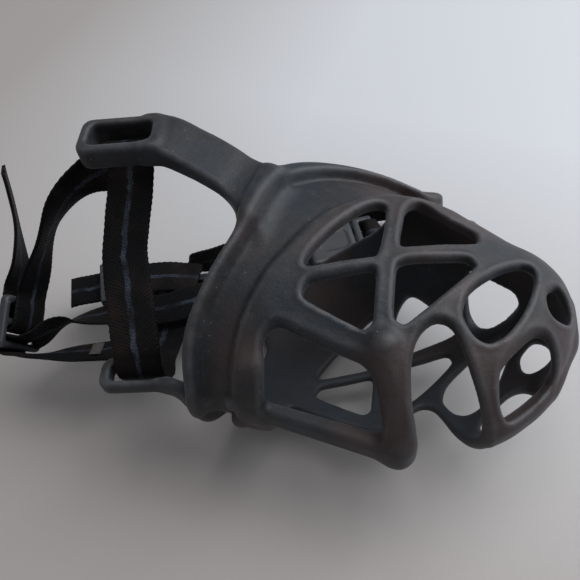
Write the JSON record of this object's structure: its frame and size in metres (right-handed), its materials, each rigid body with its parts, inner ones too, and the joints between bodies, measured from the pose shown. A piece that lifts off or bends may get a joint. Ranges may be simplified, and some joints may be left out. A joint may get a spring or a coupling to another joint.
{
  "type": "basket muzzle",
  "caption": "Small dog's soft basket muzzle: pierced snout basket with cheek and chin loops, webbing straps, strap adjuster, sliding keeper and side-release buckle.",
  "frame": {"origin": "on the mid-plane inside the basket, midway between the crosses of the two side lattices, where the muzzle of the dog sits", "axes": "+X towards the nose, +Y towards the bridge of the nose, +Z towards the dog's right side, which is up as the muzzle lies on its left side"},
  "size_m": [0.1909, 0.1365, 0.0865],
  "materials": {
    "basket_rubber": "matte moulded rubber",
    "webbing": "woven nylon",
    "slider_plastic": "satin",
    "buckle_plastic": "satin",
    "thread": "sewing thread"
  },
  "bodies": {
    "muzzle": {"basket": "basket_rubber", "throat_strap": "webbing", "neck_strap_right": "webbing", "tri_glide": "slider_plastic", "neck_strap_back": "webbing", "throat_link_strap": "webbing", "left_strap": "webbing", "buckle_socket": "buckle_plastic", "neck_strap_left": "webbing", "bar_tacks": "thread"},
    "strap_tail": {"neck_strap_tail": "webbing"},
    "keeper": {"strap_keeper": "slider_plastic"},
    "plug": {"buckle_plug": "buckle_plastic", "plug_webbing": "webbing"}
  },
  "joints": [
    {"name": "tail_swing", "type": "hinge", "parent": "muzzle", "child": "strap_tail", "pos_m": [-0.12595, -0.02628, -0.00659], "axis": [0, 0.4528, -0.8916], "range_deg": [-25, 12]},
    {"name": "keeper_slide", "type": "slide", "parent": "muzzle", "child": "keeper", "axis": [-0.83, -0.557, 0.03], "range_m": [-0.004, 0.004]},
    {"name": "buckle_release", "type": "slide", "parent": "muzzle", "child": "plug", "axis": [0.848, 0.5299, 0], "range_m": [0, 0.012]}
  ]
}
